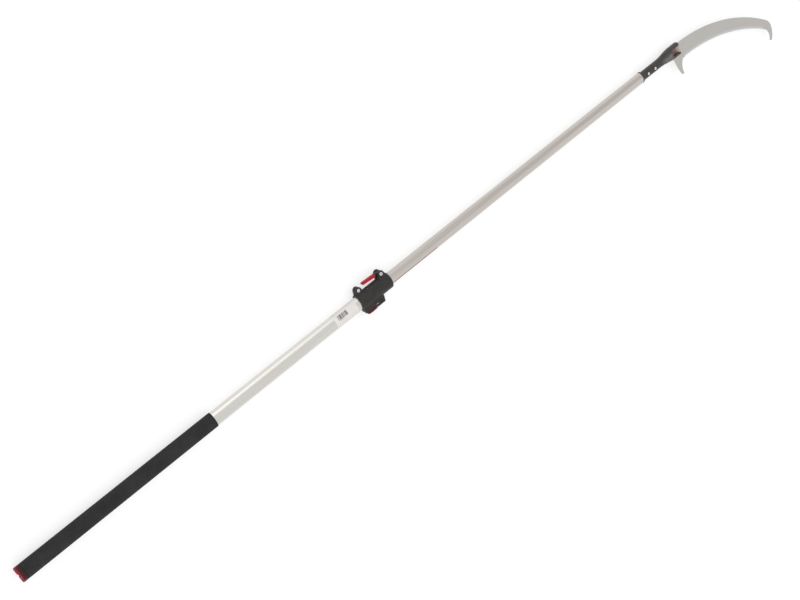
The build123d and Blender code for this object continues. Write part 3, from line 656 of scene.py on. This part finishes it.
def cap_finish():
    """Red moulding with painted shade: bright round the butt and darker towards the grip; darker along the
    groove too.
    """
    finish, tree, shader = new_finish("cap_red")
    place = add(tree, "ShaderNodeSeparateXYZ", {"Vector": object_place(tree)}).outputs
    skin = use_group(tree, fine_grain, Grain_Size=0.5 * mm, Patch_Size=9 * mm)
    colour = blend_colour(tree, skin["Mottle"], (0.36, 0.022, 0.032, 1), (0.48, 0.034, 0.050, 1))
    # Painted shade: the red darkens from the butt towards the grip. By the mottle, it is also darker along
    # the groove.
    darkening = spread(tree, place["X"], *cap_shade_x, to_high=0.95)
    off_groove = math(tree, "ABSOLUTE", place["Y"])
    groove_dark = spread(tree, off_groove, *groove_dark_y, to_high=0.7)
    darkening = math(tree, "MAXIMUM", darkening, math(tree, "MULTIPLY", groove_dark, skin["Mottle"]))
    colour = blend_colour(tree, darkening, colour, (0.045, 0.010, 0.014, 1))
    tree.links.new(colour, shader.inputs["Base Color"])
    rough = spread(tree, skin["Height"], *noise_range, to_low=0.42, to_high=0.58)
    tree.links.new(rough, shader.inputs["Roughness"])
    shader.inputs["Specular IOR Level"].default_value = 0.2
    bump(tree, shader, skin["Height"], distance=0.03 * mm)
    return finish


def holder_finish():
    """Black glass-filled moulding, with a painted grey sheen on its flare and rust round its notch."""
    finish, tree, shader = new_finish("holder_black")
    place = add(tree, "ShaderNodeSeparateXYZ", {"Vector": object_place(tree)}).outputs
    skin = use_group(tree, fine_grain, Grain_Size=0.7 * mm, Patch_Size=14 * mm)
    edge_share = use_group(tree, pale_edges, Radius=0.8 * mm)
    colour = blend_colour(tree, skin["Mottle"], (0.021, 0.019, 0.018, 1), (0.040, 0.036, 0.031, 1))
    # Painted sheen: a grey patch on the flare stands in for a reflection of the bright surroundings.
    paler = spread(tree, skin["Mottle"], 0.0, 0.8, to_low=0.55)
    for value, out_of, into in (
        (place["X"], painted_sheen_x[0], painted_sheen_x[1]),
        (place["X"], painted_sheen_x[3], painted_sheen_x[2]),
        (place["Y"], painted_sheen_y[0], painted_sheen_y[1]),
    ):
        paler = math(tree, "MULTIPLY", paler, spread(tree, value, out_of, into))
    colour = blend_colour(tree, paler, colour, (0.150, 0.147, 0.142, 1))
    rusty = spread(tree, skin["Mottle"], 0.0, 1.0, to_low=0.45, to_high=0.95)
    for value, limits in ((place["X"], rusty_x), (place["Y"], rusty_y)):
        rusty = math(tree, "MULTIPLY", rusty, spread(tree, value, *limits))
    colour = blend_colour(tree, rusty, colour, (0.110, 0.048, 0.040, 1))
    colour = blend_colour(tree, edge_share["Paleness"], colour, (0.11, 0.11, 0.105, 1))
    tree.links.new(colour, shader.inputs["Base Color"])
    rough = spread(tree, skin["Height"], *noise_range, to_low=0.34, to_high=0.48)
    tree.links.new(rough, shader.inputs["Roughness"])
    shader.inputs["Specular IOR Level"].default_value = 0.45
    bump(tree, shader, skin["Height"], distance=0.03 * mm, edge_radius=0.6 * mm)
    return finish


def zinc_finish():
    """Bright zinc plate with a faint bluish cloud."""
    finish, tree, shader = new_finish("bolt_steel")
    skin = use_group(tree, fine_grain, Grain_Size=0.3 * mm, Patch_Size=4 * mm)
    colour = blend_colour(tree, skin["Mottle"], (0.62, 0.63, 0.655, 1), (0.73, 0.72, 0.70, 1))
    tree.links.new(colour, shader.inputs["Base Color"])
    rough = spread(tree, skin["Height"], *noise_range, to_low=0.20, to_high=0.34)
    tree.links.new(rough, shader.inputs["Roughness"])
    shader.inputs["Metallic"].default_value = 1.0
    bump(tree, shader, skin["Height"], distance=0.01 * mm)
    return finish


def between(tree, value, limits):
    """1 where the value lies between the limits, else 0."""
    above = math(tree, "GREATER_THAN", value, limits[0])
    return math(tree, "MULTIPLY", above, math(tree, "LESS_THAN", value, limits[1]))


def label_finish():
    """Pale film with a block of uneven bars and one line under it, which say nothing."""
    finish, tree, shader = new_finish("label_film")
    parts = add(tree, "ShaderNodeSeparateXYZ", {"Vector": object_place(tree)}).outputs
    turn = math(tree, "ARCTAN2", parts["Z"], parts["Y"])
    step = math(tree, "DIVIDE", parts["X"], label_bar_pitch)
    chance = add(tree, "ShaderNodeTexWhiteNoise", {"W": math(tree, "FLOOR", step)}, noise_dimensions="1D")
    width = spread(tree, chance.outputs["Value"], 0.0, 1.0, to_low=0.35, to_high=0.9)
    bars = math(tree, "LESS_THAN", math(tree, "FRACT", step), width)
    for value, limits in ((parts["X"], label_bars), (turn, label_bar_angles)):
        bars = math(tree, "MULTIPLY", bars, between(tree, value, limits))
    line = between(tree, turn, label_line_angles)
    line = math(tree, "MULTIPLY", between(tree, parts["X"], label_line), line)
    print_share = math(tree, "MAXIMUM", bars, math(tree, "MULTIPLY", line, 0.4))
    skin = use_group(tree, fine_grain, Grain_Size=0.5 * mm, Patch_Size=12 * mm)
    paper = blend_colour(tree, skin["Mottle"], (0.80, 0.77, 0.74, 1), (0.86, 0.84, 0.81, 1))
    colour = blend_colour(tree, print_share, paper, (0.10, 0.095, 0.09, 1))
    tree.links.new(colour, shader.inputs["Base Color"])
    rough = spread(tree, skin["Height"], *noise_range, to_low=0.38, to_high=0.5)
    tree.links.new(rough, shader.inputs["Roughness"])
    bump(tree, shader, skin["Height"], distance=0.01 * mm)
    return finish


finishes = {
    "tube_aluminium": tube_finish(
        "tube_aluminium",
        dark=(0.67, 0.655, 0.62),
        light=(0.73, 0.715, 0.68),
        warm=(0.69, 0.65, 0.595),
        rough=(0.255, 0.275),
    ),
    "grip_rubber": grip_finish(),
    "cap_red": cap_finish(),
    "collar_black": moulded(
        "collar_black",
        dark=(0.016, 0.016, 0.016),
        light=(0.032, 0.029, 0.026),
        # Pale edges: partly wear, partly a painted highlight where the rims of the ears catch the light.
        pale_edge=(0.150, 0.145, 0.140),
        rough=(0.42, 0.60),
        grain=0.55 * mm,
        grain_depth=0.05 * mm,
        pale_edge_radius=1.2 * mm,
        specular=0.35,
        edge_radius=0.6 * mm,
    ),
    "liner_nylon": moulded(
        "liner_nylon",
        dark=(0.60, 0.60, 0.57),
        light=(0.68, 0.68, 0.64),
        pale_edge=(0.72, 0.72, 0.70),
        rough=(0.45, 0.60),
        grain=0.8 * mm,
        grain_depth=0.02 * mm,
        pale_edge_radius=0.4 * mm,
    ),
    "lever_red": moulded(
        "lever_red",
        dark=(0.400, 0.006, 0.018),
        light=(0.490, 0.010, 0.026),
        pale_edge=(0.58, 0.06, 0.07),
        rough=(0.30, 0.42),
        grain=0.9 * mm,
        grain_depth=0.02 * mm,
        pale_edge_radius=0.6 * mm,
        specular=0.25,
    ),
    "button_red": moulded(
        "button_red",
        dark=(0.125, 0.018, 0.024),
        light=(0.180, 0.028, 0.036),
        # Pale edges: partly wear, partly a painted highlight along the rim of the thumb pad.
        pale_edge=(0.42, 0.10, 0.12),
        rough=(0.40, 0.55),
        grain=0.6 * mm,
        grain_depth=0.03 * mm,
        pale_edge_radius=1.0 * mm,
        specular=0.3,
    ),
    "holder_black": holder_finish(),
    "blade_steel": blade_finish(),
    "bolt_steel": zinc_finish(),
}
upper_aluminium = tube_finish(
    "upper_aluminium",
    dark=(0.525, 0.487, 0.455),
    light=(0.618, 0.575, 0.542),
    warm=(0.592, 0.541, 0.502),
    rough=(0.205, 0.235),
)
label_film = label_finish()
mark_grey = moulded(
    "mark_grey",
    dark=(0.26, 0.26, 0.25),
    light=(0.33, 0.33, 0.32),
    pale_edge=(0.40, 0.40, 0.39),
    rough=(0.45, 0.60),
    grain=0.4 * mm,
    grain_depth=0.01 * mm,
    pale_edge_radius=0.2 * mm,
    specular=0.3,
)
stripe_red = moulded(
    "stripe_red",
    dark=(0.30, 0.016, 0.022),
    light=(0.37, 0.024, 0.030),
    pale_edge=(0.45, 0.06, 0.07),
    rough=(0.35, 0.50),
    grain=0.5 * mm,
    grain_depth=0.01 * mm,
    pale_edge_radius=0.1 * mm,
)


# Pieces


def make_tubes():
    """Both tubes, the upper one drilled for the lock pin."""
    low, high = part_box("lower_tube")
    lower = oval_tube("lower_tube_drawn", low[0], high[0], 0.0, lower_wall)
    smooth(lower, tube_smooth_angle)
    fasten(lower, "handle", "tube_aluminium", finishes["tube_aluminium"], "lower_tube")

    low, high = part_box("upper_tube")
    upper = oval_tube("upper_tube_drawn", low[0], high[0], upper_growth, upper_wall)
    for index in range(lock_hole_count):
        deselect()
        bpy.ops.mesh.primitive_cylinder_add(
            vertices=lock_hole_segments,
            radius=lock_hole_radius,
            depth=2 * oval_half_width,
            location=(lock_hole_first + index * lock_hole_pitch, -oval_half_width, 0),
            rotation=(pi / 2, 0, 0),
        )
        drill = bpy.context.object
        apply_modifier(upper, "BOOLEAN", operation="DIFFERENCE", object=drill, solver="EXACT")
        bpy.data.objects.remove(drill)
    smooth(upper, tube_smooth_angle)
    fasten(upper, "upper_section", "tube_aluminium", upper_aluminium, "upper_tube")


def make_grip():
    """Knurled sleeve: a ring of quads is repeated, turned into diamonds and each diamond is raised."""
    low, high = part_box("grip_sleeve")
    length = high[0] - low[0] - 2 * grip_rim
    rows = round(length / knurl_row)
    row = length / rows
    ground = grip_growth - knurl_height
    grip = oval_ring("grip_sleeve_knurled", low[0] + grip_rim, ground, knurl_columns)
    extrude_along(grip, row)
    apply_modifier(
        grip,
        "ARRAY",
        count=rows,
        use_relative_offset=False,
        use_constant_offset=True,
        constant_offset_displace=(row, 0, 0),
        use_merge_vertices=True,
        merge_threshold=rim_reach,
    )
    edit(grip, "FACE")
    bpy.ops.mesh.poke()
    bpy.ops.mesh.tris_convert_to_quads(face_threshold=pi, shape_threshold=pi)
    leave_edit()
    push_to_oval(grip, ground)
    flat_points = len(grip.data.vertices)
    edit(grip, "FACE")
    bpy.ops.mesh.inset(thickness=knurl_shoulder, depth=0.0, use_individual=True)
    leave_edit()
    push_to_oval(grip, grip_growth, lambda vertex: vertex.index >= flat_points)
    crest = grip.data.attributes.new("crest", "FLOAT", "POINT")
    for vertex in grip.data.vertices:
        crest.data[vertex.index].value = 1.0 if vertex.index >= flat_points else 0.0
    close_sleeve(grip, low[0] + grip_rim, -grip_rim)
    close_sleeve(grip, high[0] - grip_rim, grip_rim)
    edit(grip, "EDGE")
    bpy.ops.mesh.select_all(action="DESELECT")
    bpy.ops.mesh.select_non_manifold()
    bpy.ops.mesh.bridge_edge_loops()
    bpy.ops.mesh.select_all(action="SELECT")
    bpy.ops.mesh.normals_make_consistent(inside=False)
    leave_edit()
    smooth(grip, knurl_smooth_angle)
    fasten(grip, "handle", "grip_rubber", finishes["grip_rubber"], "grip_sleeve")


def close_sleeve(grip, edge_x, reach):
    """Adds the plain rim at one end of the sleeve, and turns its edge into the bore."""
    for run, growth in (
        (rim_slope * reach, grip_growth),
        ((1 - rim_slope) * reach, grip_growth),
        (0.0, grip_bore_growth),
    ):
        edit(grip, "EDGE")
        bpy.ops.mesh.select_all(action="DESELECT")
        bpy.ops.mesh.select_non_manifold()
        leave_edit()
        for edge in grip.data.edges:
            ends = [grip.data.vertices[i].co.x for i in edge.vertices]
            if max(abs(x - edge_x) for x in ends) > rim_reach:
                edge.select = False
        for vertex in grip.data.vertices:
            if abs(vertex.co.x - edge_x) > rim_reach:
                vertex.select = False
        before = len(grip.data.vertices)
        edit_selected(grip)
        bpy.ops.mesh.extrude_region_move(TRANSFORM_OT_translate={"value": (run, 0, 0)})
        leave_edit()
        push_to_oval(grip, growth, lambda vertex: vertex.index >= before)
        edge_x += run


def finish_node(piece, node):
    """Gives the finished copy of a node the finish and the body of that node."""
    smooth(piece)
    apply_modifier(piece, "WEIGHTED_NORMAL", keep_sharp=True)
    slot = slot_of_node[node]
    fasten(piece, body_of_node[node], slot, finishes[slot], node)


def make_mouldings():
    """Nodes whose shape is right get rounded edges, smooth shading and their finish."""
    for node, rounding, angle in (
        ("box_cover", 0.25 * mm, 45),
        ("cam_lever", 0.45 * mm, 28),
        ("lever_grip", 0.45 * mm, 28),
        ("pinch_bolt", 0.15 * mm, 28),
        ("pivot_bolt", 0.15 * mm, 28),
        ("pinch_nut", 0.2 * mm, 28),
        ("pivot_nut", 0.2 * mm, 28),
        ("hub_washers", 0.12 * mm, 28),
        ("blade_bolts", 0.2 * mm, 28),
        ("blade_nuts", 0.2 * mm, 28),
        ("blade_washers", 0.15 * mm, 28),
        ("holder_rivet", 0.3 * mm, 28),
    ):
        piece = copy_of_node(node, f"{node}_finished")
        soften(piece, rounding, angle)
        finish_node(piece, node)


def on_ear_rim(point):
    """Whether a point lies on the outline of an ear's outer face, away from the bolt seat."""
    axis = ear_x[0] if point.x < sum(ear_x) / 2 else ear_x[1]
    on_face = any(abs(abs(point.z) - face) < face_reach for face in ear_faces)
    away = hypot(point.x - axis, point.y - ear_y) > ear_seat_reach
    return on_face and away and point.y > ear_root_y


def make_collar():
    """The collar, with generous rounding on its ears."""
    collar = copy_of_node("clamp_collar", "clamp_collar_finished", in_triangles=True)
    round_rims(collar, ear_rounding, angle=45, chosen=on_ear_rim)
    finish_node(collar, "clamp_collar")


def make_rocker():
    """The lock rocker, rounded where the thumb meets it."""
    rocker = copy_of_node("lock_rocker", "lock_rocker_finished", in_triangles=True)
    round_rims(rocker, pad_rounding, angle=40, chosen=lambda point: point.y < pad_back_y)
    finish_node(rocker, "lock_rocker")


def make_spring():
    """The return spring between the lock box and the rocker: it is smoothed and given its finish, and
    attached to no body.
    """
    spring = copy_of_node("rocker_spring", "rocker_spring_finished")
    smooth(spring)
    slot = slot_of_node["rocker_spring"]
    coat(spring, finishes[slot])
    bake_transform(spring)
    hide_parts("rocker_spring")


def make_holder():
    """The blade holder, rounded round its mouth and left alone at the shallow bolt seats of its neck."""
    holder = copy_of_node("blade_holder", "blade_holder_finished", in_triangles=True)
    round_rims(holder, mouth_rounding, angle=48, chosen=lambda point: point.x > neck_end)
    finish_node(holder, "blade_holder")


def make_cap():
    """The end cap, cast again as one fine even skin so that all its edges melt a little."""
    cap = copy_of_node("end_cap", "end_cap_finished")
    apply_modifier(cap, "REMESH", mode="VOXEL", voxel_size=cap_cell)
    apply_modifier(cap, "SMOOTH", factor=0.5, iterations=cap_smoothings)
    finish_node(cap, "end_cap")


def make_blade():
    """The blade with its teeth ground from alternate sides."""
    blade = copy_of_node("saw_blade", "saw_blade_ground")
    pitch = tooth_turn / tooth_count
    margin = tooth_end_share * pitch
    for vertex in blade.data.vertices:
        reach = vertex.co - tooth_centre
        distance = hypot(reach.x, reach.y)
        turn = pi / 2 - atan2(reach.y, reach.x)
        tip = abs(distance - tooth_radius) < face_reach and margin < turn < tooth_turn - margin
        ground_side = 1 if round(turn / pitch) % 2 else -1
        if tip and vertex.co.z * ground_side > 0:
            vertex.co += Vector((reach.x, reach.y, 0)).normalized() * tooth_grind
    smooth(blade, blade_smooth_angle)
    fasten(blade, "upper_section", "blade_steel", finishes["blade_steel"], "saw_blade")


def make_thumb_ribs():
    """Ribs across the thumb pad, set along its arc and joined."""
    ribs = []
    for index in range(rib_count):
        offset = (index - (rib_count - 1) / 2) * rib_pitch
        sag = pad_arc_radius - sqrt(pad_arc_radius**2 - offset**2)
        deselect()
        bpy.ops.mesh.primitive_cylinder_add(
            vertices=rib_segments,
            radius=rib_radius,
            depth=rib_length,
            location=(pad_middle_x + offset, pad_face_y + sag + rib_sink, 0),
        )
        rib = bpy.context.object
        bpy.ops.object.transform_apply(location=True, rotation=True, scale=True)
        soften(rib, rib_rounding, angle=60, segments=3)
        ribs.append(rib)
    deselect()
    for rib in ribs:
        rib.select_set(True)
    bpy.context.view_layer.objects.active = ribs[0]
    bpy.ops.object.join()
    ribs[0].name = "thumb_ribs"
    smooth(ribs[0])
    fasten(ribs[0], "rocker", "button_red", finishes["button_red"])


def make_lock_marks():
    """A pale bar with rounded ends let into each side panel of the lock box."""
    for side in (1, -1):
        deselect()
        bpy.ops.mesh.primitive_cube_add(
            size=1.0,
            location=(mark_x, mark_y, side * box_half_height),
            scale=(mark_length, mark_width, mark_thickness),
        )
        mark = bpy.context.object
        mark.name = f"lock_mark_{'top' if side > 0 else 'bottom'}"
        bpy.ops.object.transform_apply(location=True, rotation=True, scale=True)
        soften(mark, mark_rounding, angle=60)
        smooth(mark)
        fasten(mark, "handle", "liner_nylon", mark_grey)


def make_films():
    """The label on the lower tube and the stripe on the upper tube."""
    label = oval_film("plain_label", label_start, label_end, label_angles, film_growth, label_steps)
    fasten(label, "handle", "liner_nylon", label_film)
    growth = upper_growth + film_growth
    stripe = oval_film("plain_stripe", stripe_start, stripe_end, stripe_angles, growth, stripe_steps)
    fasten(stripe, "upper_section", "cap_red", stripe_red)


def finish_hidden_nodes():
    """Nodes that lie almost wholly inside others keep their own shape and get their finish."""
    for node in ("guide_liner", "tube_guide", "clamp_shoe", "lever_bush", "rocker_pin", "lock_pin"):
        coat(nodes[node], finishes[slot_of_node[node]])


# Floor, light and camera


def background_ray(tree):
    """1 for rays from the camera and for reflections and glass, 0 for light on the object."""
    path = add(tree, "ShaderNodeLightPath").outputs
    seen = math(tree, "MAXIMUM", path["Is Camera Ray"], path["Is Glossy Ray"])
    return math(tree, "MAXIMUM", seen, path["Is Transmission Ray"])


def make_floor():
    deselect()
    place = (floor_middle_x, 0, cad_box[0][2] - floor_drop)
    bpy.ops.mesh.primitive_plane_add(size=2 * floor_half_size, location=place)
    floor = bpy.context.object
    floor.name = "floor"
    finish, tree, shader = new_finish("floor_white")
    shader.inputs["Base Color"].default_value = (floor_colour, floor_colour, floor_colour, 1)
    shader.inputs["Roughness"].default_value = 0.9
    shader.inputs["Specular IOR Level"].default_value = 0.0
    shader.inputs["Emission Color"].default_value = (1, 1, 1, 1)
    glow = math(tree, "MULTIPLY", background_ray(tree), floor_glow)
    tree.links.new(glow, shader.inputs["Emission Strength"])
    floor.data.materials.append(finish)


def make_world():
    """White at the horizon, a little greyer above the grip, and a dark card high above the blade end."""
    world = bpy.data.worlds.new("studio")
    bpy.context.scene.world = world
    world.use_nodes = True
    tree = world.node_tree
    way = add(tree, "ShaderNodeTexCoord").outputs["Generated"]
    parts = add(tree, "ShaderNodeSeparateXYZ", {"Vector": way}).outputs
    overhead = spread(tree, parts["X"], *overhead_x, *overhead_level)
    lean = spread(tree, dot(tree, way, dark_card_way), *dark_card_lean)
    card = math(tree, "MULTIPLY", lean, spread(tree, parts["X"], *dark_card_x, to_high=dark_card_depth))
    rim = spread(tree, parts["Z"], *horizon_z, to_low=horizon_level, to_high=0.0)
    shade = math(tree, "MAXIMUM", rim, math(tree, "SUBTRACT", overhead, card))
    level = spread(tree, background_ray(tree), 0.0, 1.0, to_low=world_light)
    background = tree.nodes["Background"]
    background.inputs["Color"].default_value = (1, 1, 1, 1)
    tree.links.new(math(tree, "MULTIPLY", shade, level), background.inputs["Strength"])


def make_lamp():
    """One large softbox on the +Y side."""
    lamp = bpy.data.lights.new("key_softbox", "AREA")
    lamp.shape = "SQUARE"
    lamp.size = lamp_size
    lamp.energy = lamp_power
    softbox = bpy.data.objects.new("key_softbox", lamp)
    softbox.location = lamp_place
    softbox.rotation_euler = (lamp_aim - lamp_place).to_track_quat("-Z", "Y").to_euler()
    bpy.context.scene.collection.objects.link(softbox)


def make_camera():
    lens = bpy.data.cameras.new("photo_camera")
    lens.sensor_width = camera_sensor
    lens.lens = camera_lens
    lens.clip_end = camera_reach
    camera = bpy.data.objects.new("photo_camera", lens)
    camera.location = camera_eye
    turn = (camera_aim - camera_eye).to_track_quat("-Z", "Y") @ Quaternion((0, 0, 1), camera_roll)
    camera.rotation_euler = turn.to_euler()
    bpy.context.scene.collection.objects.link(camera)
    bpy.context.scene.camera = camera


make_tubes()
make_grip()
make_cap()
make_collar()
make_rocker()
make_spring()
make_holder()
make_mouldings()
make_blade()
make_thumb_ribs()
make_lock_marks()
make_films()
finish_hidden_nodes()
make_floor()
make_world()
make_lamp()
make_camera()
bpy.context.scene.view_settings.view_transform = "Standard"

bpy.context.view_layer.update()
